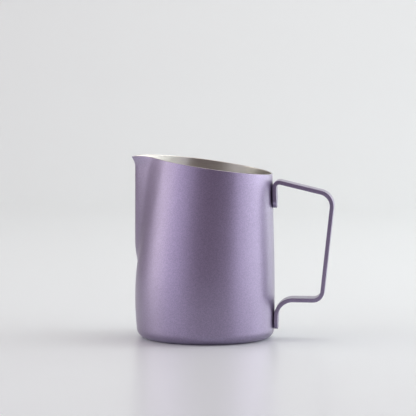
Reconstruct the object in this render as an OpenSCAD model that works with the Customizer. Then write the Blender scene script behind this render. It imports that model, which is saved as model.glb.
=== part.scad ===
// Milk frothing pitcher: a drawn steel cup with a pressed spout and a welded strip handle.
// Millimetres, +Z up. The origin is the centre of the base, on the surface it stands on.
// The spout points along -X and the handle along +X.

/* [Body] */
// Radius of the wall at the belly, its widest level
belly_r = 41.9; // [36:0.1:50]
// Height of the belly above the base
belly_z = 28; // [20:1:36]
// How far the front wall draws in from the belly down to the base
front_foot = 1.7; // [0:0.05:3]
// How far the back wall draws in from the belly down to the base
back_foot = 0.4; // [0:0.05:3]
// Lean of the front wall above the belly, sideways per unit of height
front_lean = 0.137; // [0:0.001:0.18]
// Lean of the back wall above the belly, sideways per unit of height
back_lean = 0.028; // [0:0.001:0.1]
// Radius of the rounded edge between the wall and the base
corner_r = 6; // [3:0.5:9]
// Thickness of the steel
wall_t = 0.8; // [0.6:0.1:1.2]
// Thickness of the outer coating
coat_t = 0.12; // [0.08:0.01:0.3]

/* [Mouth] */
// Height of the rim above the base, at the middle of the cup
rim_z = 104.1; // [95:0.1:115]
// Slope of the mouth, down from the spout to the handle, in degrees
rim_tilt = 8; // [0:0.5:10]
// Height of bare steel edge left above the coating
bare_rim = 0.15; // [0.1:0.05:1]

/* [Spout] */
// Distance of the upright spout line in front of the base centre
spout_reach = 42.7; // [41:0.1:45]
// Height at which the spout line starts to round off downwards
spout_low_z = 58; // [50:1:66]
// Height of the spout's root, where it runs out into the wall
spout_root_z = 46; // [40:1:50]
// Half angle of the cup's round that the spout takes up at the rim, in degrees
spout_spread = 21.5; // [15:0.5:30]
// Half angle over which the spout's edge is rounded, in degrees
edge_round = 2.5; // [1.5:0.5:5]
// Height at which the pouring lip starts to flare forward
lip_z = 103.8; // [96:0.1:106]
// Forward flare of the lip per unit of height
lip_flare = 0.52; // [0:0.01:0.8]
// How far the lip's tip dips below the sloping rim
lip_dip = 2.4; // [0:0.1:4]

/* [Handle] */
// Width of the steel strip
strip_w = 14; // [10:0.5:18]
// Thickness of the steel strip
strip_t = 2.4; // [1.5:0.1:3]
// Height of the upper tab's free end
upper_tab_z = 78.3; // [74:0.1:84]
// Height at which the upper tab's line meets the top bar's line
top_bar_z = 94.5; // [90:0.1:97]
// Distance from the base centre to the top of the grip
grip_top_x = 75.9; // [68:0.1:90]
// Height of the top of the grip
grip_top_z = 86.3; // [80:0.1:92]
// Distance from the base centre to the foot of the grip
grip_foot_x = 69.4; // [62:0.1:84]
// Height of the lower bar
lower_bar_z = 23.6; // [20:0.1:30]
// Height of the lower tab's free end
lower_tab_z = 5.9; // [4:0.1:7]
// Bend radii on the strip's middle, from the upper tab round to the lower tab
bend_r = [3, 8.5, 5.6, 10];
// Corner radius of each tab's free end
tab_corner_r = 4.5; // [2:0.5:5]
// Diameter of each weld nugget
weld_d = 4; // [3:0.5:6]

/* [Hidden] */

lavender = [0.66, 0.60, 0.73];
steel = [0.80, 0.79, 0.77];
bright_steel = [0.72, 0.71, 0.70];

lean_z = belly_z + 8.2;     // where the lines of the leaning walls would leave the belly
lean_blend = 8.4;           // how softly the walls turn into their lean
spout_curl = 0.0104;        // how fast the spout line rounds back below spout_low_z
spread_power = 0.5;         // below 1, the spout widens fast at its root and slower above
root_fillet_low = 0.8;      // softness of the spout's root crease where it starts
root_fillet_high = 2.6;     // and at the rim
fillet_growth = 0.03;       // gain of that softness per unit of height
flare_blend = 0.8;          // how softly the lip turns into its flare
rays = 80;                  // points around the cup
ray_bunching = 28;          // degrees by which the rays are drawn towards the spout
corner_steps = 3;           // rings over the rounded base edge
wall_steps = 13;            // rings up the wall
ring_bunching = 1.6;        // above 1, the rings are drawn towards the rim
tab_clear = 0.1;            // gap between the coating and the flat tab where they are closest
weld_bite = 0.4;            // depth to which a nugget is fused into the wall and into the tab
weld_rise = 5.2;            // height of each weld's centre above its tab's free end
dimple_r = 6;               // radius of the electrode tip that leaves a dimple in the tab
dimple_depth = 0.4;
bend_step = 6;              // degrees of each short flat round a bend
base_disc_t = 0.4;          // thickness of the disc that makes the base one flat face
base_disc_gap = 1;          // what that disc leaves free inside the rounded edge

// A ramp that is 0 far below t = 0 and equals t far above it, with a soft turn between.
function soft_ramp(t, soft) = (sqrt(t * t + soft * soft) + t) / 2;

// Reach of one side of the cup from the belly's axis, at height z.
function side_reach(z, lean, foot) =
    belly_r - lean * soft_ramp(z - lean_z, lean_blend)
    - foot * pow(max(belly_z - z, 0) / belly_z, 2);
function front_reach(z) = side_reach(z, front_lean, front_foot);
function back_reach(z) = side_reach(z, back_lean, back_foot);

// Every level section of the cup is a circle that touches both sides.
function level_r(z) = (front_reach(z) + back_reach(z)) / 2;
function level_centre(z) =
    (back_reach(z) - front_reach(z) - back_reach(0) + front_reach(0)) / 2;

// Distance of the spout's edge in front of the base centre, at height z.
function spout_edge(z) =
    spout_reach - spout_curl * pow(max(spout_low_z - z, 0), 2)
    + lip_flare * soft_ramp(z - lip_z, flare_blend);

// Half angle of the round that the spout takes up, at height z.
function spread_at(z) =
    spout_spread * pow(max(z - spout_root_z, 0.01) / (rim_z - spout_root_z), spread_power);

// Radius of the spout's straight flank, at angle phi from its edge.
function flank_r(phi, z, r, edge) =
    let (
        spread = spread_at(z),
        half_angle = atan2(r * sin(spread), edge - r * cos(spread)),
        foot = edge * sin(half_angle + edge_round),
        slant = half_angle + sqrt(phi * phi + edge_round * edge_round)
    )
    slant < 90 ? foot / sin(slant) : foot * sin(slant);

// Larger of two radii, rounded over where they cross.
function soft_max(a, b, soft) = max(a, b) + pow(max(soft - abs(a - b), 0), 2) / (4 * soft);

// Radius of the outside from the level's own centre, at angle phi from the spout.
function outside_r(phi, z) =
    let (
        r = level_r(z),
        edge = spout_edge(z) + level_centre(z),
        soft = min(max(root_fillet_low + fillet_growth * (z - spout_root_z), root_fillet_low),
                   root_fillet_high)
    )
    edge < r - soft ? r : soft_max(r, flank_r(abs(phi), z, r, edge), soft);

function level_point(phi, z, r) = [level_centre(z) - r * cos(phi), -r * sin(phi), z];

// Height of the rim along one ray: the sloping plane of the mouth, less the lip's dip.
function rim_height(phi, z = rim_z, turns = 8) =
    let (
        r = outside_r(phi, z),
        pressed = (r - level_r(z)) / (spout_edge(z) + level_centre(z) - level_r(z)),
        next_z = rim_z - tan(rim_tilt) * level_point(phi, z, r).x - lip_dip * pressed * pressed
    )
    turns == 0 ? z : rim_height(phi, next_z, turns - 1);

// Angles of the rays from the spout, in (-180, 180], closest together at the spout.
ray_angles = [
    for (i = [0 : rays - 1])
        let (turn = 360 * i / rays, phi = turn - ray_bunching * sin(turn))
        phi > 180 ? phi - 360 : phi
];
rim_heights = [for (phi = ray_angles) rim_height(phi)];

// One ring of points round the rounded base edge; edge_angle runs from 0 to 90 degrees.
function corner_ring(inset, floor_z, r_edge, edge_angle) = [
    for (phi = ray_angles)
        let (
            z = floor_z + r_edge * (1 - cos(edge_angle)),
            r = outside_r(phi, floor_z + r_edge) - inset - r_edge * (1 - sin(edge_angle))
        )
        level_point(phi, z, r)
];

// One ring of points at a share of the way from the base edge up to the rim.
function wall_ring(inset, start_z, share, drop) = [
    for (i = [0 : rays - 1])
        let (
            phi = ray_angles[i],
            z = start_z + share * (rim_heights[i] - drop - start_z)
        )
        level_point(phi, z, outside_r(phi, z) - inset)
];

// Rings from the base up to the rim, set closer together towards the rim.
function skin(inset, floor_z, r_edge, drop) = [
    for (k = [0 : corner_steps]) corner_ring(inset, floor_z, r_edge, 90 * k / corner_steps),
    for (k = [1 : wall_steps])
        wall_ring(inset, floor_z + r_edge, 1 - pow(1 - k / wall_steps, ring_bunching), drop)
];

function reversed(list) = [for (i = [len(list) - 1 : -1 : 0]) list[i]];
function flattened(rings) = [for (ring = rings) each ring];

// Two triangles between neighbouring rays of ring a and ring b.
function band(a, b) = [
    for (i = [0 : rays - 1])
        let (j = (i + 1) % rays)
        each [
            [a * rays + i, b * rays + i, b * rays + j],
            [a * rays + i, b * rays + j, a * rays + j]
        ]
];

steel_inset = coat_t;
inside_inset = coat_t + wall_t;

module vessel() {
    outside = skin(steel_inset, 0, corner_r, bare_rim);
    edge = [wall_ring(steel_inset, 0, 1, 0)];
    inside = skin(inside_inset, wall_t, corner_r - wall_t, 0);
    rings = concat(outside, edge, reversed(inside));
    last = len(rings) - 1;
    base_face = [[for (i = [0 : rays - 1]) i]];
    floor_face = [[for (i = [rays - 1 : -1 : 0]) last * rays + i]];
    color(steel) {
        polyhedron(
            flattened(rings),
            concat(base_face, floor_face, [for (k = [0 : last - 1]) each band(k, k + 1)])
        );
        cylinder(r = front_reach(corner_r) - corner_r - base_disc_gap, h = base_disc_t, $fn = 96);
    }
}

module outer_coating() {
    rings = concat(skin(0, 0, corner_r, bare_rim),
                   reversed(skin(steel_inset, 0, corner_r, bare_rim)));
    count = len(rings);
    color(lavender)
        polyhedron(flattened(rings), [for (k = [0 : count - 1]) each band(k, (k + 1) % count)]);
}

// Middle line of the strip, in the plane of the handle as [x, z].
function tab_x(z) =
    back_reach(z) + (front_reach(0) - back_reach(0)) / 2 + tab_clear + strip_t / 2;
strip_line = [
    [tab_x(upper_tab_z), upper_tab_z],
    [tab_x(top_bar_z), top_bar_z],
    [grip_top_x, grip_top_z],
    [grip_foot_x, lower_bar_z],
    [tab_x(lower_bar_z), lower_bar_z],
    [tab_x(lower_tab_z), lower_tab_z]
];
last_run = len(strip_line) - 2;

function run(i) = strip_line[i + 1] - strip_line[i];
function heading(i) = atan2(run(i)[1], run(i)[0]);
function turn(i) =
    let (change = heading(i) - heading(i - 1))
    change > 180 ? change - 360 : change < -180 ? change + 360 : change;
// Length of each run that the bend at its corner uses up.
function setback(i) = i < 1 || i > last_run ? 0 : bend_r[i - 1] * tan(abs(turn(i)) / 2);
function along(i, distance) = strip_line[i] + distance * run(i) / norm(run(i));

function left_of(angle) = [-sin(angle), cos(angle)];

// Points round bend i, at a distance to the left of the strip's middle line.
function bend_points(i, offset) =
    let (
        to_centre = sign(turn(i)) * bend_r[i - 1],
        bend_start = along(i - 1, norm(run(i - 1)) - setback(i)),
        centre = bend_start + to_centre * left_of(heading(i - 1)),
        steps = ceil(abs(turn(i)) / bend_step)
    )
    [for (k = [0 : steps])
        centre - (to_centre - offset) * left_of(heading(i - 1) + turn(i) * k / steps)];

// One long edge of the bent strip, seen from the side.
function strip_edge(offset) = [
    strip_line[0] + offset * left_of(heading(0)),
    for (i = [1 : last_run]) each bend_points(i, offset),
    strip_line[last_run + 1] + offset * left_of(heading(last_run))
];

module bent_strip() {
    rotate([90, 0, 0])
        linear_extrude(strip_w, center = true)
            polygon(concat(strip_edge(strip_t / 2), reversed(strip_edge(-strip_t / 2))));
}

// Moves to a tab's free end, with X on towards that end and Z out from the cup.
module at_tab_end(free_end, bent_end) {
    away = free_end - bent_end;
    translate([free_end[0], 0, free_end[1]])
        rotate([0, atan2(-away[1], away[0]), 0]) children();
}

// What is taken off a tab: the two corners of its free end, and the dimple of its weld.
module tab_trim() {
    for (side = [-1, 1])
        translate([-tab_corner_r, side * (strip_w / 2 - tab_corner_r), -strip_t])
            linear_extrude(2 * strip_t)
                difference() {
                    translate([0, side > 0 ? 0 : -tab_corner_r - 1]) square(tab_corner_r + 1);
                    circle(r = tab_corner_r, $fn = 64);
                }
    translate([-weld_rise, 0, strip_t / 2 + dimple_r - dimple_depth])
        sphere(r = dimple_r, $fn = 64);
}

module handle() {
    color(lavender)
        difference() {
            bent_strip();
            at_tab_end(strip_line[0], strip_line[1]) tab_trim();
            at_tab_end(strip_line[last_run + 1], strip_line[last_run]) tab_trim();
        }
}

// A nugget fused into the wall and into the tab, at height z.
module spot_weld(z) {
    inner_x = tab_x(z) - strip_t / 2 - tab_clear - coat_t - weld_bite;
    color(bright_steel)
        translate([inner_x, 0, z])
            rotate([0, 90, 0])
                cylinder(d = weld_d, h = 2 * weld_bite + coat_t + tab_clear, $fn = 48);
}

module upper_spot_weld() { spot_weld(upper_tab_z + weld_rise); }
module lower_spot_weld() { spot_weld(lower_tab_z + weld_rise); }

vessel();
outer_coating();
handle();
upper_spot_weld();
lower_spot_weld();
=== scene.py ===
# %% [markdown]
# # A milk frothing pitcher in satin lavender
# The object is a small steel jug from a coffee bar: a drawn cup with a pressed spout, bare brushed
# steel inside, a satin lavender powder coat outside, and a bent steel strip welded on as a handle.
# The CAD model fixes every size. This file gives it fine surfaces, finishes, a table and light.

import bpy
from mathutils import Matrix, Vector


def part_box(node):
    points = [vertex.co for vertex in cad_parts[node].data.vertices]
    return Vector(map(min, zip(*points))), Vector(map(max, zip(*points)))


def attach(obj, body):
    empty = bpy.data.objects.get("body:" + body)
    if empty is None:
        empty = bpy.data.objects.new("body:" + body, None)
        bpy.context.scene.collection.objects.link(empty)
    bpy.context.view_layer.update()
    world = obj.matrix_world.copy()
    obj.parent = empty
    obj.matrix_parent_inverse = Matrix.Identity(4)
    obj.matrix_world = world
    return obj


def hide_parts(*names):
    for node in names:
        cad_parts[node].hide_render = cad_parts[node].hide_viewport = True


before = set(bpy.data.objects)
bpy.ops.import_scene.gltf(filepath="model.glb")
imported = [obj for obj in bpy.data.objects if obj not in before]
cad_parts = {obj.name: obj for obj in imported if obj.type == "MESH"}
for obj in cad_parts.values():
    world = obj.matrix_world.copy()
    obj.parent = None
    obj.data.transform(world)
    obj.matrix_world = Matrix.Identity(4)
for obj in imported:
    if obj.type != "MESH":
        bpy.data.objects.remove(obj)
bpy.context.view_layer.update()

import math

import bmesh
import bpy
import numpy as np
from mathutils import Vector

MM = 0.001

# %% [markdown]
# ## The shape of the cup
# A frothing cup is drawn from one disc of steel, so every level section is a circle. The front wall
# leans in more than the back wall does, which shifts the circles backwards on the way up. Modelling
# it with a subdivision cage would be quick, but the cup has to match the CAD model everywhere, so
# the surface is computed from the same few dimensions instead, on a much finer grid.

# %% Driving dimensions of the cup, in millimetres
BELLY_R, BELLY_Z = 41.9, 28.0
FRONT_FOOT, BACK_FOOT = 1.7, 0.4
FRONT_LEAN, BACK_LEAN = 0.137, 0.028
LEAN_Z, LEAN_BLEND = BELLY_Z + 8.2, 8.4
CORNER_R, WALL_T, COAT_T = 6.0, 0.8, 0.12
RIM_Z, RIM_TILT = 104.1, math.radians(8)


def soft_ramp(t, soft):
    """0 far below t = 0 and t far above it, with a soft turn between."""
    return (np.sqrt(t * t + soft * soft) + t) / 2


def side_reach(z, lean, foot):
    """Reach of one side of the cup from the belly's axis, at height z."""
    foot_share = np.maximum(BELLY_Z - z, 0) / BELLY_Z
    return BELLY_R - lean * soft_ramp(z - LEAN_Z, LEAN_BLEND) - foot * foot_share**2


def front_reach(z):
    return side_reach(z, FRONT_LEAN, FRONT_FOOT)


def back_reach(z):
    return side_reach(z, BACK_LEAN, BACK_FOOT)


def level_r(z):
    return (front_reach(z) + back_reach(z)) / 2


def level_centre(z):
    """X of the middle of the level circle; the base circle's middle is the origin."""
    return (back_reach(z) - front_reach(z) - back_reach(0.0) + front_reach(0.0)) / 2


print("belly is", round(2 * float(level_r(BELLY_Z)), 1), "mm across")

# %% [markdown]
# ## The pressed spout
# The spout is pressed outwards from the round wall. Seen from above it is a V: a narrow rounded edge
# in front, and two nearly straight flanks that run back to the round, meeting it in a soft hollow
# crease. It starts nearly half way up the cup, widens fast at first, and flares at the very top into
# the pouring lip. Boolean shapes would leave hard joins here, so the flanks and the round are blended
# by taking the larger of two radii, with the crossing smoothed. The rim's height depends on how far
# the wall reaches there, and the reach on the height, so a few turns of a loop settle the two.

# %% Driving dimensions of the spout, in millimetres and degrees
SPOUT_REACH, SPOUT_LOW_Z, SPOUT_ROOT_Z, SPOUT_CURL = 42.7, 58.0, 46.0, 0.0104
SPOUT_SPREAD, SPREAD_POWER = math.radians(21.5), 0.5
EDGE_ROUND = math.radians(2.5)
LIP_Z, LIP_FLARE, FLARE_BLEND, LIP_DIP = 103.8, 0.52, 0.8, 2.4
ROOT_FILLET_LOW, ROOT_FILLET_HIGH, FILLET_GROWTH = 0.8, 2.6, 0.03
LEAST_RISE = 0.01
RIM_TURNS = 12


def spout_edge(z):
    """Distance of the spout's edge in front of the base centre."""
    curled = SPOUT_REACH - SPOUT_CURL * np.maximum(SPOUT_LOW_Z - z, 0) ** 2
    return curled + LIP_FLARE * soft_ramp(z - LIP_Z, FLARE_BLEND)


def outside_r(phi, z):
    """Radius of the outside from the level circle's middle; phi is the angle from the spout."""
    phi, z = np.broadcast_arrays(np.abs(np.asarray(phi, float)), np.asarray(z, float))
    r = level_r(z)
    edge = spout_edge(z) + level_centre(z)
    share = np.maximum(z - SPOUT_ROOT_Z, LEAST_RISE) / (RIM_Z - SPOUT_ROOT_Z)
    spread = SPOUT_SPREAD * share**SPREAD_POWER
    half_angle = np.arctan2(r * np.sin(spread), edge - r * np.cos(spread))
    foot = edge * np.sin(half_angle + EDGE_ROUND)
    slant = half_angle + np.sqrt(phi**2 + EDGE_ROUND**2)
    flank = foot * np.where(slant < math.pi / 2, 1 / np.sin(slant), np.sin(slant))
    grown = ROOT_FILLET_LOW + FILLET_GROWTH * (z - SPOUT_ROOT_Z)
    soft = np.clip(grown, ROOT_FILLET_LOW, ROOT_FILLET_HIGH)
    blend = np.maximum(soft - np.abs(r - flank), 0) ** 2 / (4 * soft)
    return np.where(edge < r - soft, r, np.maximum(r, flank) + blend)


def level_point(phi, z, r):
    """Points at angle phi from the spout and radius r, at height z, as an array of (x, y, z)."""
    phi, z, r = np.broadcast_arrays(phi, z, r)
    return np.stack([level_centre(z) - r * np.cos(phi), -r * np.sin(phi), z], axis=-1)


def rim_height(phi):
    """Height of the rim along each ray: a sloping plane that dips at the lip's tip."""
    z = np.full_like(phi, RIM_Z)
    for _ in range(RIM_TURNS):
        r = outside_r(phi, z)
        pressed = (r - level_r(z)) / (spout_edge(z) + level_centre(z) - level_r(z))
        x = level_centre(z) - r * np.cos(phi)
        z = RIM_Z - math.tan(RIM_TILT) * x - LIP_DIP * pressed**2
    return z


lip_reach = float(spout_edge(LIP_Z))
print("spout reaches", round(lip_reach, 1), "mm in front of the base's centre, under the lip")

# %% Rays around the cup, closest together at the spout
RAYS = 288
RAY_BUNCHING = math.radians(28)
turn = np.arange(RAYS) * 2 * math.pi / RAYS
rays = turn - RAY_BUNCHING * np.sin(turn)
rays = np.where(rays > math.pi, rays - 2 * math.pi, rays)
rim_z = rim_height(rays)
print("rim runs from", round(float(rim_z.min()), 1), "to", round(float(rim_z.max()), 1), "mm")

# %% [markdown]
# ## From rings to a mesh
# Every piece here is a stack of rings with the same number of points, joined by quads. Curves with a
# bevel, or a screw modifier, make such skins too, but only of one section. A helper with bmesh takes
# any rings. A stack whose last ring joins its first makes a closed film, like the coating; a stack
# with two end faces makes a solid, like the cup or the handle strip.

# %% A helper that joins rings into one smooth piece


def piece_from_rings(name, rings, film=False):
    """A mesh of quads between rings of points in millimetres; it is closed either way."""
    grid = bmesh.new()
    rows = [[grid.verts.new(Vector(point) * MM) for point in ring] for ring in rings]
    pairs = list(zip(rows, rows[1:])) + ([(rows[-1], rows[0])] if film else [])
    for low, high in pairs:
        for i in range(len(low)):
            j = (i + 1) % len(low)
            grid.faces.new((low[i], low[j], high[j], high[i]))
    if not film:
        grid.faces.new(rows[0][::-1])
        grid.faces.new(rows[-1])
    bmesh.ops.recalc_face_normals(grid, faces=grid.faces)
    for face in grid.faces:
        face.smooth = len(face.verts) == 4
    mesh = bpy.data.meshes.new(name)
    grid.to_mesh(mesh)
    grid.free()
    piece = bpy.data.objects.new(name, mesh)
    bpy.context.collection.objects.link(piece)
    print(name, "has", len(mesh.polygons), "faces")
    return piece


# %% Rings over the base's edge and up the wall


def corner_ring(inset, floor_z, r_edge, edge_angle):
    """A ring over the base's rounded edge; edge_angle runs from 0 at the floor to a right angle."""
    z = floor_z + r_edge * (1 - math.cos(edge_angle))
    r = outside_r(rays, floor_z + r_edge) - inset - r_edge * (1 - math.sin(edge_angle))
    return level_point(rays, z, r)


def wall_ring(inset, start_z, share, drop):
    """A ring at a share of the way from start_z up to the rim, less drop."""
    z = start_z + share * (rim_z - drop - start_z)
    return level_point(rays, z, outside_r(rays, z) - inset)


# The cup and its coating share these steps, so that neither pokes through the other.
CORNER_STEPS, WALL_STEPS, RING_BUNCHING = 10, 96, 1.6


def skin(inset, floor_z, r_edge, drop):
    """Rings from the base to the rim, set closer together towards the rim."""
    corner = [
        corner_ring(inset, floor_z, r_edge, math.pi / 2 * k / CORNER_STEPS)
        for k in range(CORNER_STEPS + 1)
    ]
    shares = [1 - (1 - k / WALL_STEPS) ** RING_BUNCHING for k in range(1, WALL_STEPS + 1)]
    return corner + [wall_ring(inset, floor_z + r_edge, share, drop) for share in shares]


print("each skin has", CORNER_STEPS + 1 + WALL_STEPS, "rings of", RAYS, "points")

# %% [markdown]
# ## The steel cup and its bare rim
# The cup is one piece of 0.8 mm steel. Its rim is cut, then ground round and polished, and the coating
# ends on the outer side of that round, so a thin bright line of bare steel runs round the mouth.
# The rim is modelled as a half round of its own: it is less than a millimetre wide, but it catches
# the light all the way round. A bevel would do it too, but rings keep the width exact.

# %% Build the cup
RIM_STEPS = 8
RIM_HALF, UNDER_ROUND = WALL_T / 2, 0.05
BELOW_RIM = RIM_HALF + UNDER_ROUND


def rim_ring(around, radius):
    """A ring over the rounded rim; around runs from 0 on the outside to pi on the inside."""
    inset = COAT_T + RIM_HALF - radius * math.cos(around)
    z = rim_z - RIM_HALF + radius * math.sin(around)
    return level_point(rays, z, outside_r(rays, z) - inset)


outside_rings = skin(COAT_T, 0.0, CORNER_R, BELOW_RIM)
rim_rings = [rim_ring(math.pi * k / RIM_STEPS, RIM_HALF) for k in range(RIM_STEPS + 1)]
inside_rings = skin(COAT_T + WALL_T, WALL_T, CORNER_R - WALL_T, BELOW_RIM)
drawn_cup = piece_from_rings("drawn_cup", outside_rings + rim_rings + inside_rings[::-1])

# %% [markdown]
# ## The coating
# Powder coat is sprayed on dry and baked, and comes out as an even film a tenth of a millimetre
# thick. The inside is masked, so the film laps over the outer round of the rim and ends there. A
# second material on the cup's outer faces would give the colour, but not the film's own edge at the
# rim, so it is a piece of its own: a thin closed film, wrapped round the cup.

# %% Build the coating
COAT_LAP = math.radians(40)
LAP_STEPS = 4


def coat_face(inset, radius):
    """One face of the film, from the base up the wall and over the outer round of the rim."""
    lap = [rim_ring(COAT_LAP * k / LAP_STEPS, radius) for k in range(LAP_STEPS + 1)]
    return skin(inset, 0.0, CORNER_R, BELOW_RIM) + lap


film_rings = coat_face(0.0, RIM_HALF + COAT_T) + coat_face(COAT_T, RIM_HALF)[::-1]
coating_film = piece_from_rings("coating_film", film_rings, film=True)

# %% [markdown]
# ## The strip handle
# The handle is one strip of steel, 14 mm wide, bent four times and spot welded to the cup by a flat
# tab at each end. Its line is a chain of straight runs joined by round bends, so it is described by
# its corner points and bend radii, and a rounded section is swept along it. A curve object with a
# bevel could do the sweep, but not the tabs, which end in round corners and carry weld dimples.

# %% The handle's middle line, in its own plane
STRIP_W, STRIP_T, STRIP_EDGE = 14.0, 2.4, 0.32
TAB_CLEAR, TAB_CORNER_R = 0.1, 4.5
UPPER_TAB_Z, TOP_BAR_Z, LOWER_BAR_Z, LOWER_TAB_Z = 78.3, 94.5, 23.6, 5.9
GRIP_TOP, GRIP_FOOT_X = (75.9, 86.3), 69.4
BEND_R = (3.0, 8.5, 5.6, 10.0)


def tab_x(z):
    """X of the strip's middle where it lies against the cup's back wall."""
    shift = (front_reach(0.0) - back_reach(0.0)) / 2
    return float(back_reach(z) + shift + TAB_CLEAR + STRIP_T / 2)


corners = np.array(
    [
        (tab_x(UPPER_TAB_Z), UPPER_TAB_Z),
        (tab_x(TOP_BAR_Z), TOP_BAR_Z),
        GRIP_TOP,
        (GRIP_FOOT_X, LOWER_BAR_Z),
        (tab_x(LOWER_BAR_Z), LOWER_BAR_Z),
        (tab_x(LOWER_TAB_Z), LOWER_TAB_Z),
    ]
)
runs = np.diff(corners, axis=0)
run_lengths = np.linalg.norm(runs, axis=1)
headings = np.arctan2(runs[:, 1], runs[:, 0])
turns = (np.diff(headings) + math.pi) % (2 * math.pi) - math.pi
setbacks = [0.0] + [r * math.tan(abs(t) / 2) for r, t in zip(BEND_R, turns)] + [0.0]


def unit(angle):
    return np.array([math.cos(angle), math.sin(angle)])


def left_of(angle):
    return np.array([-math.sin(angle), math.cos(angle)])


def strip_stations(tab_step=0.3, run_step=2.0, bend_step=math.radians(3)):
    """(middle point, heading) pairs along the strip, closest together on the two tabs."""
    stations = []
    last = len(runs) - 1
    for i in range(len(runs)):
        start, end = setbacks[i], run_lengths[i] - setbacks[i + 1]
        count = math.ceil((end - start) / (tab_step if i in (0, last) else run_step))
        distances = np.linspace(start, end, count + 1)
        stations += [(corners[i] + d * unit(headings[i]), headings[i]) for d in distances]
        if i == last:
            break
        to_centre = math.copysign(BEND_R[i], turns[i])
        centre = corners[i] + end * unit(headings[i]) + to_centre * left_of(headings[i])
        steps = math.ceil(abs(turns[i]) / bend_step)
        for k in range(1, steps):
            heading = headings[i] + turns[i] * k / steps
            stations.append((centre - to_centre * left_of(heading), heading))
    return stations


stations = strip_stations()
steps_along = [np.linalg.norm(b[0] - a[0]) for a, b in zip(stations, stations[1:])]
along = np.concatenate([[0.0], np.cumsum(steps_along)])
print("strip is", round(float(along[-1]), 1), "mm long, cut at", len(stations), "stations")

# %% Sweep the section along the strip
WELD_RISE, DIMPLE_R, DIMPLE_DEPTH = 5.2, 6.0, 0.4
LEAST_SIDE = 0.05


def quarter(radius, distance):
    """Height of a rounded corner of that radius, at a distance in from its end."""
    inner = max(radius - distance, 0.0)
    return radius - math.sqrt(max(radius * radius - inner * inner, 0.0))


def strip_section(half_w, half_t, edge, across=40, round_steps=4, side_steps=3):
    """Points round a flat bar with rounded edges, as (along the width, out of the flat)."""
    w, t = half_w - edge, half_t - edge
    top = [(w * (2 * k / across - 1), half_t) for k in range(across + 1)]
    side = [(half_w, t * (1 - 2 * k / side_steps)) for k in range(side_steps + 1)]
    angles = [math.pi / 2 * k / round_steps for k in range(1, round_steps)]
    upper_round = [(w + edge * math.sin(a), t + edge * math.cos(a)) for a in angles]
    lower_round = [(y, -n) for y, n in upper_round[::-1]]
    half_loop = top + upper_round + side + lower_round
    return half_loop + [(-y, -n) for y, n in half_loop]


def dimple(y, distance):
    """Depth of the electrode's round dimple, around the weld's centre."""
    off_centre = y * y + (distance - WELD_RISE) ** 2
    if off_centre >= DIMPLE_R**2:
        return 0.0
    return max(math.sqrt(DIMPLE_R**2 - off_centre) - (DIMPLE_R - DIMPLE_DEPTH), 0.0)


strip_rings = []
for (middle, heading), from_upper_end in zip(stations, along):
    from_lower_end = along[-1] - from_upper_end
    from_end = min(from_upper_end, from_lower_end)
    soft_end = quarter(STRIP_EDGE, from_end)
    half_w = STRIP_W / 2 - quarter(TAB_CORNER_R, from_end) - soft_end
    half_t = STRIP_T / 2 - soft_end
    edge = min(STRIP_EDGE, half_t - LEAST_SIDE)
    outer_side = -1 if from_upper_end < from_lower_end else 1
    ring = []
    for y, out in strip_section(half_w, half_t, edge):
        if out * outer_side > STRIP_T / 2 - STRIP_EDGE:
            out -= outer_side * dimple(y, from_end)
        x, z = middle + out * left_of(heading)
        ring.append((x, y, z))
    strip_rings.append(ring)
strip_handle = piece_from_rings("strip_handle", strip_rings)

# %% [markdown]
# ## The two spot welds
# A spot weld is a small lens of melted steel that joins the tab to the wall. It hides between them,
# and only the dimples outside show where it is. A squashed ball would come close, but the lens needs
# flat ends in the two sheets, so each one is a turned profile, set from the box of its CAD node.

# %% Build the weld nuggets
NUGGET_POINTS = 48
NUGGET_PROFILE = (0.55, 0.8, 0.95, 1.0, 1.0, 0.95, 0.8, 0.55)


def weld_nugget(name, node):
    low, high = (np.array(corner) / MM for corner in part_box(node))
    middle, radius = (low + high) / 2, (high[2] - low[2]) / 2
    angles = np.arange(NUGGET_POINTS) * 2 * math.pi / NUGGET_POINTS
    rings = []
    for share, size in zip(np.linspace(0, 1, len(NUGGET_PROFILE)), NUGGET_PROFILE):
        x = np.full(NUGGET_POINTS, low[0] + share * (high[0] - low[0]))
        y = middle[1] + size * radius * np.sin(angles)
        z = middle[2] + size * radius * np.cos(angles)
        rings.append(np.stack([x, y, z], axis=-1))
    return piece_from_rings(name, rings)


upper_nugget = weld_nugget("upper_weld_nugget", "upper_spot_weld")
lower_nugget = weld_nugget("lower_weld_nugget", "lower_spot_weld")

# %% [markdown]
# ## Building materials from nodes
# A material is a small graph. Two helpers keep it readable: one turns a colour as it is written on a
# swatch into the linear numbers that the renderer works in, and one adds a node together
# with its settings and the links into it.

# %% Colour and node helpers


def linear(swatch):
    """An sRGB hex colour as linear red, green, blue and full alpha."""
    values = [int(swatch[i : i + 2], 16) / 255 for i in (1, 3, 5)]
    return [v / 12.92 if v <= 0.04045 else ((v + 0.055) / 1.055) ** 2.4 for v in values] + [1.0]


def add_node(material, kind, inputs=None, **settings):
    """Adds a node; an input is either a value or the output socket that feeds it."""
    tree = material.node_tree
    node = tree.nodes.new(kind)
    for name, value in settings.items():
        setattr(node, name, value)
    for name, value in (inputs or {}).items():
        if isinstance(value, bpy.types.NodeSocket):
            tree.links.new(value, node.inputs[name])
        else:
            node.inputs[name].default_value = value
    return node


def new_material(name):
    material = bpy.data.materials.new(name)
    material.use_nodes = True
    material.node_tree.nodes.clear()
    return material


def output_surface(material, shader):
    add_node(material, "ShaderNodeOutputMaterial", {"Surface": shader.outputs["BSDF"]})


print("middle grey, #808080, is", round(linear("#808080")[0], 3), "in linear light")

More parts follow.
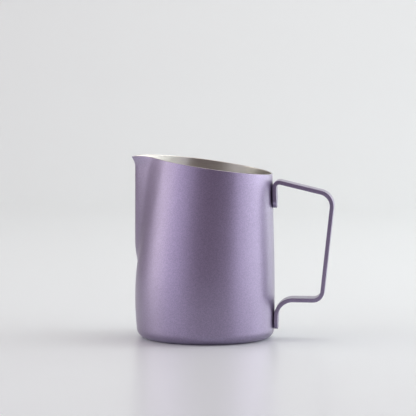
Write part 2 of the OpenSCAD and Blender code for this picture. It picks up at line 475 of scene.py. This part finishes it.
# %% [markdown]
# ## Satin lavender powder coat
# The real finish is a polyester powder with fine aluminium flake, baked to a satin film. The flake
# makes it behave mostly like metal: broad soft bands where lamps are beside it, and a deep violet
# between them. The clear resin on top adds a greyer sheen at the edges. A metallic base under a clear
# coat is therefore the shader. Polyester's IOR is about 1.55; 1.75 gives the strength of the sheen.
# Up close the film has a very fine orange peel, and each flake lies at its own tilt, so the surface
# sparkles slightly. The peel is drawn at its real size. Real flakes are some hundredths of a
# millimetre across, too fine to show, so they are drawn about ten times coarser.

# %% The powder coat
COAT_COLOUR = "#9084A4"
COAT_DEEP = "#897D9D"
FLAKE_MM, PEEL_MM, CLOUD_MM = 0.35, 1.6, 14.0
FLAKE_GLINT, FILM_ROUGHNESS = (0.82, 1.18), (0.39, 0.49)
FILM_RELIEF_MM = 0.03


def lavender_powder_coat():
    coat = new_material("lavender_powder_coat")
    place = add_node(coat, "ShaderNodeNewGeometry").outputs["Position"]
    flake = add_node(
        coat, "ShaderNodeTexVoronoi", {"Vector": place, "Scale": 1 / (FLAKE_MM * MM)}, feature="F1"
    )
    flake_level = add_node(coat, "ShaderNodeSeparateColor", {"Color": flake.outputs["Color"]})
    peel = add_node(
        coat, "ShaderNodeTexNoise", {"Vector": place, "Scale": 1 / (PEEL_MM * MM), "Detail": 2.0}
    )
    cloud = add_node(
        coat, "ShaderNodeTexNoise", {"Vector": place, "Scale": 1 / (CLOUD_MM * MM), "Detail": 2.0}
    )
    tint = add_node(
        coat,
        "ShaderNodeMix",
        {"Factor": cloud.outputs["Fac"], "A": linear(COAT_COLOUR), "B": linear(COAT_DEEP)},
        data_type="RGBA",
    )
    glint = add_node(
        coat,
        "ShaderNodeMapRange",
        {"Value": flake_level.outputs["Red"], "To Min": FLAKE_GLINT[0], "To Max": FLAKE_GLINT[1]},
    )
    colour = add_node(
        coat,
        "ShaderNodeVectorMath",
        {0: tint.outputs["Result"], "Scale": glint.outputs["Result"]},
        operation="SCALE",
    )
    roughness = add_node(
        coat,
        "ShaderNodeMapRange",
        {
            "Value": flake_level.outputs["Green"],
            "To Min": FILM_ROUGHNESS[0],
            "To Max": FILM_ROUGHNESS[1],
        },
    )
    height = add_node(
        coat, "ShaderNodeMath", {0: flake.outputs["Distance"], 1: peel.outputs["Fac"]}, operation="ADD"
    )
    relief = add_node(
        coat,
        "ShaderNodeBump",
        {"Height": height.outputs["Value"], "Strength": 0.4, "Distance": FILM_RELIEF_MM * MM},
    )
    film = add_node(
        coat,
        "ShaderNodeBsdfPrincipled",
        {
            "Base Color": colour.outputs["Vector"],
            "Metallic": 0.9,
            "Roughness": roughness.outputs["Result"],
            "Normal": relief.outputs["Normal"],
            "Coat Weight": 1.0,
            "Coat Roughness": 0.38,
            "Coat IOR": 1.75,
        },
    )
    output_surface(coat, film)
    return coat


powder_coat = lavender_powder_coat()
print(powder_coat.name, "has", len(powder_coat.node_tree.nodes), "nodes")

# %% [markdown]
# ## Brushed stainless steel
# The inside is 304 stainless, brushed while the cup turns, so fine scratches run round it at
# every level. They smear each reflection up and down, across the scratches, and keep it crisp
# sideways. Anisotropy turned by a quarter does the smearing. It could do so alone, but then the
# surface would look polished from close by, so a noise that is stretched along the turn and tight
# along the height draws the scratches. Real ones are some hundredths of a millimetre wide, too fine
# to show, so they are drawn more than half a millimetre wide.

# %% The bare steel
STEEL_COLOUR, STEEL_DULL = "#E6E4DC", "#D0CFC8"
SCRATCH_MM, SCRATCH_TURN = 0.6, 1.6
BRUSHED_ROUGHNESS, SCRATCH_DEPTH_MM = (0.24, 0.56), 0.05


def brushed_cup_steel():
    steel = new_material("brushed_cup_steel")
    place = add_node(steel, "ShaderNodeNewGeometry").outputs["Position"]
    parts = add_node(steel, "ShaderNodeSeparateXYZ", {"Vector": place})
    turn_angle = add_node(
        steel,
        "ShaderNodeMath",
        {0: parts.outputs["Y"], 1: parts.outputs["X"]},
        operation="ARCTAN2",
    )
    along_turn = add_node(
        steel, "ShaderNodeMath", {0: turn_angle.outputs["Value"], 1: SCRATCH_TURN}, operation="MULTIPLY"
    )
    up = add_node(
        steel, "ShaderNodeMath", {0: parts.outputs["Z"], 1: 1 / (SCRATCH_MM * MM)}, operation="MULTIPLY"
    )
    brushing = add_node(
        steel, "ShaderNodeCombineXYZ", {"X": along_turn.outputs["Value"], "Y": up.outputs["Value"]}
    )
    scratch = add_node(
        steel,
        "ShaderNodeTexNoise",
        {"Vector": brushing.outputs["Vector"], "Scale": 1.0, "Detail": 3.0, "Roughness": 0.6},
    )
    roughness = add_node(
        steel,
        "ShaderNodeMapRange",
        {
            "Value": scratch.outputs["Fac"],
            "To Min": BRUSHED_ROUGHNESS[0],
            "To Max": BRUSHED_ROUGHNESS[1],
        },
    )
    colour = add_node(
        steel,
        "ShaderNodeMix",
        {"Factor": scratch.outputs["Fac"], "A": linear(STEEL_COLOUR), "B": linear(STEEL_DULL)},
        data_type="RGBA",
    )
    relief = add_node(
        steel,
        "ShaderNodeBump",
        {"Height": scratch.outputs["Fac"], "Strength": 0.5, "Distance": SCRATCH_DEPTH_MM * MM},
    )
    around = add_node(steel, "ShaderNodeTangent", direction_type="RADIAL", axis="Z")
    metal = add_node(
        steel,
        "ShaderNodeBsdfPrincipled",
        {
            "Base Color": colour.outputs["Result"],
            "Metallic": 1.0,
            "Roughness": roughness.outputs["Result"],
            "Anisotropic": 0.8,
            "Anisotropic Rotation": 0.25,
            "Tangent": around.outputs["Tangent"],
            "Normal": relief.outputs["Normal"],
        },
    )
    output_surface(steel, metal)
    return steel


cup_steel = brushed_cup_steel()
print(cup_steel.name, "has", len(cup_steel.node_tree.nodes), "nodes")

# %% [markdown]
# ## Fused weld metal
# Weld metal has been molten, so it has no brushing, only a dull, slightly rippled skin. A plain grey
# metal would nearly do, as the nuggets hardly show, but a soft noise in the relief costs little.

# %% The weld metal
WELD_COLOUR = "#B4B2AE"
RIPPLE_MM, RIPPLE_DEPTH_MM = 0.8, 0.05


def fused_weld_steel():
    weld = new_material("fused_weld_steel")
    place = add_node(weld, "ShaderNodeNewGeometry").outputs["Position"]
    ripple = add_node(weld, "ShaderNodeTexNoise", {"Vector": place, "Scale": 1 / (RIPPLE_MM * MM)})
    relief = add_node(
        weld,
        "ShaderNodeBump",
        {"Height": ripple.outputs["Fac"], "Strength": 0.4, "Distance": RIPPLE_DEPTH_MM * MM},
    )
    metal = add_node(
        weld,
        "ShaderNodeBsdfPrincipled",
        {
            "Base Color": linear(WELD_COLOUR),
            "Metallic": 1.0,
            "Roughness": 0.5,
            "Normal": relief.outputs["Normal"],
        },
    )
    output_surface(weld, metal)
    return weld


weld_steel = fused_weld_steel()
print(weld_steel.name, "has", len(weld_steel.node_tree.nodes), "nodes")

# %% [markdown]
# ## Joining the pieces to the CAD frame
# Each piece rides on the pitcher's one body, hides the plain CAD node that it stands for, and takes
# the material built for it above as its finish.

# %% Ride, replace and give finishes
for piece, node, slot, material in (
    (drawn_cup, "vessel", "bare_steel", cup_steel),
    (coating_film, "outer_coating", "lavender_coat", powder_coat),
    (strip_handle, "handle", "lavender_coat", powder_coat),
    (upper_nugget, "upper_spot_weld", "weld_steel", weld_steel),
    (lower_nugget, "lower_spot_weld", "weld_steel", weld_steel),
):
    piece.data.materials.append(material)
    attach(piece, "root")
    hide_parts(node)
    print(piece.name, "stands for", node, "in", material.name)

# %% [markdown]
# ## The table and the backdrop
# The pitcher stands on a pale matt table that sweeps up into the background with no horizon. Two
# planes would show a line where they meet, so one swept strip makes both: flat, a round quarter
# turn far behind, and then upright. Sizes are in metres.

# %% Build the table sweep
TABLE_FRONT, SWEEP_BACK, SWEEP_R, SWEEP_TOP = -0.32, 0.9, 0.5, 2.6
TABLE_LEFT, TABLE_RIGHT = -0.7, 2.4
SWEEP_STEPS = 24
sweep_line = [(TABLE_FRONT, 0.0)]
sweep_line += [
    (SWEEP_BACK + SWEEP_R * math.sin(a), SWEEP_R * (1 - math.cos(a)))
    for a in np.linspace(0, math.pi / 2, SWEEP_STEPS)
]
sweep_line += [(SWEEP_BACK + SWEEP_R, SWEEP_TOP)]
sheet = bmesh.new()
sweep_rows = [
    [sheet.verts.new((x, y, z)) for x in (TABLE_LEFT, TABLE_RIGHT)] for y, z in sweep_line
]
for near, far in zip(sweep_rows, sweep_rows[1:]):
    sheet.faces.new((near[0], near[1], far[1], far[0])).smooth = True
sweep_mesh = bpy.data.meshes.new("table_sweep")
sheet.to_mesh(sweep_mesh)
sheet.free()
table_sweep = bpy.data.objects.new("table_sweep", sweep_mesh)
bpy.context.collection.objects.link(table_sweep)
print("table sweep has", len(sweep_mesh.polygons), "faces")

# %% [markdown]
# ## The table's finish
# The table is painted board, rolled smooth and nearly matt. It keeps a little gloss, so the
# pitcher's foot shows in it, and a fine grain in the roughness softens that reflection.

# %% Pale matt paint
TABLE_COLOUR, TABLE_ROUGHNESS = "#E9F0EF", (0.27, 0.33)
TABLE_GRAIN_MM = 3.0
table_matt = new_material("pale_matt_table")
table_place = add_node(table_matt, "ShaderNodeNewGeometry").outputs["Position"]
table_grain = add_node(
    table_matt,
    "ShaderNodeTexNoise",
    {"Vector": table_place, "Scale": 1 / (TABLE_GRAIN_MM * MM), "Detail": 3.0},
)
table_roughness = add_node(
    table_matt,
    "ShaderNodeMapRange",
    {
        "Value": table_grain.outputs["Fac"],
        "To Min": TABLE_ROUGHNESS[0],
        "To Max": TABLE_ROUGHNESS[1],
    },
)
table_shader = add_node(
    table_matt,
    "ShaderNodeBsdfPrincipled",
    {
        "Base Color": linear(TABLE_COLOUR),
        "Roughness": table_roughness.outputs["Result"],
        "Specular IOR Level": 0.4,
    },
)
output_surface(table_matt, table_shader)
sweep_mesh.materials.append(table_matt)
print(table_matt.name, "has", len(table_matt.node_tree.nodes), "nodes")

# %% [markdown]
# ## Light
# A satin metal shows what is round it as broad soft bands, so the lamps shape the bands. One long
# softbox on each side would draw them with even brightness and hard ends. Here two rows of upright
# panels curve round the pitcher, on the spout's side and on the handle's, and their watts rise and
# fall along the row, which shades each band. The room in front stays darker and gives the deep
# violet between them. A large panel overhead lights the table, and one more lights the backdrop.

# %% A softbox that faces its target
CUP_MIDDLE = Vector((0.0, 0.0, 0.06))
WARM, COOL, VIOLET = "#FFFCF7", "#F9FCFE", "#F1EEFF"
IVORY, SILVER = "#FFFBE6", "#FAFCFB"


def softbox(name, position, target, size, watts, tint):
    """A rectangular lamp; sizes and places are in metres."""
    light = bpy.data.lights.new(name, "AREA")
    light.shape = "RECTANGLE"
    light.size, light.size_y = size
    light.energy = watts
    light.color = linear(tint)[:3]
    box = bpy.data.objects.new(name, light)
    bpy.context.collection.objects.link(box)
    box.location = position
    box.rotation_euler = (Vector(target) - Vector(position)).to_track_quat("-Z", "Y").to_euler()


print("lamps shine in", WARM, COOL, VIOLET, IVORY, "and", SILVER)

# %% Two rows of panels round the pitcher
PANEL_AWAY, PANEL_SIZE = 1.2, (0.31, 1.0)
SPOUT_SIDE_Z, HANDLE_SIDE_Z = 0.42, 0.34
FRONT_END = 60


def panel(azimuth, watts):
    """An upright panel; azimuth is in degrees from the camera's side, positive towards the handle."""
    side_tint, height = (WARM, SPOUT_SIDE_Z) if azimuth < 0 else (COOL, HANDLE_SIDE_Z)
    tint = VIOLET if abs(azimuth) <= FRONT_END else side_tint
    a = math.radians(azimuth)
    position = (PANEL_AWAY * math.sin(a), -PANEL_AWAY * math.cos(a), height)
    softbox(f"panel_{azimuth:+04d}", position, CUP_MIDDLE, PANEL_SIZE, watts, tint)


spout_side_watts = {-105: 0.4, -90: 2.5, -75: 2.0, -60: 1.4, -45: 1.25, -30: 0.65}
handle_side_watts = {60: 1.55, 75: 1.8, 90: 2.2, 105: 3.5, 120: 2.0, 135: 1.8}
for azimuth, watts in (spout_side_watts | handle_side_watts).items():
    panel(azimuth, watts)
print(len(spout_side_watts | handle_side_watts), "panels stand round the pitcher")

# %% Light for the table and the backdrop
softbox(
    "overhead_panel",
    position=(0.0, 0.55, 1.9),
    target=(0.0, 0.55, 0.0),
    size=(2.2, 1.6),
    watts=6.0,
    tint=IVORY,
)
softbox(
    "backdrop_light",
    position=(0.8, 0.2, 1.6),
    target=(0.8, 1.4, 0.5),
    size=(2.0, 0.5),
    watts=11.4,
    tint=SILVER,
)
print("lamps in all:", len(bpy.data.lights))

# %% [markdown]
# ## The room beyond the lamps
# The satin coat also shows the room, softly. A panorama of a real room would bring in its own
# objects, so the room is only a gradient: grey above the table's level and dark below it, with a
# soft change between, and a tint that keeps the deep bands violet.

# %% A gradient for the room
ROOM_ABOVE, ROOM_BELOW = 0.32, 0.06
ROOM_TURN_LOW, ROOM_TURN_HIGH = -0.08, 0.12
ROOM_TINT = "#FFE4F4"
world = bpy.data.worlds.new("room")
bpy.context.scene.world = world
world.use_nodes = True
direction = add_node(world, "ShaderNodeTexCoord")
height = add_node(world, "ShaderNodeSeparateXYZ", {"Vector": direction.outputs["Generated"]})
room_light = add_node(
    world,
    "ShaderNodeMapRange",
    {
        "Value": height.outputs["Z"],
        "From Min": ROOM_TURN_LOW,
        "From Max": ROOM_TURN_HIGH,
        "To Min": ROOM_BELOW,
        "To Max": ROOM_ABOVE,
    },
)
background = world.node_tree.nodes["Background"]
background.inputs["Color"].default_value = linear(ROOM_TINT)
world.node_tree.links.new(room_light.outputs["Result"], background.inputs["Strength"])
print("room runs from strength", ROOM_BELOW, "to", ROOM_ABOVE)

# %% [markdown]
# ## Camera
# A short lens from close by would make the handle loom and the cup lean. This is a long lens from a
# metre and a half away, nearly twice as high as the pitcher and a little to the handle's side: far
# enough for the sides to stay nearly parallel, and high enough to look a little way into the cup.

# %% Set the camera
CAMERA_AT = (0.130, -1.4943, 0.2025)
CAMERA_AIM = (0.00106, 0.0, 0.0776)
CAMERA_ROLL = math.radians(0.2)
LENS_MM, SENSOR_MM = 218.1, 36.0
camera_data = bpy.data.cameras.new("studio_camera")
camera_data.lens = LENS_MM
camera_data.sensor_width = SENSOR_MM
camera_data.clip_start, camera_data.clip_end = 0.05, 20.0
camera = bpy.data.objects.new("studio_camera", camera_data)
bpy.context.collection.objects.link(camera)
camera.location = CAMERA_AT
line_of_sight = Vector(CAMERA_AIM) - Vector(CAMERA_AT)
camera.rotation_euler = line_of_sight.to_track_quat("-Z", "Y").to_euler()
camera.rotation_euler.rotate_axis("Z", CAMERA_ROLL)
bpy.context.scene.camera = camera
bpy.context.scene.view_settings.view_transform = "Standard"
print("camera is", round(line_of_sight.length, 2), "m from its aim")
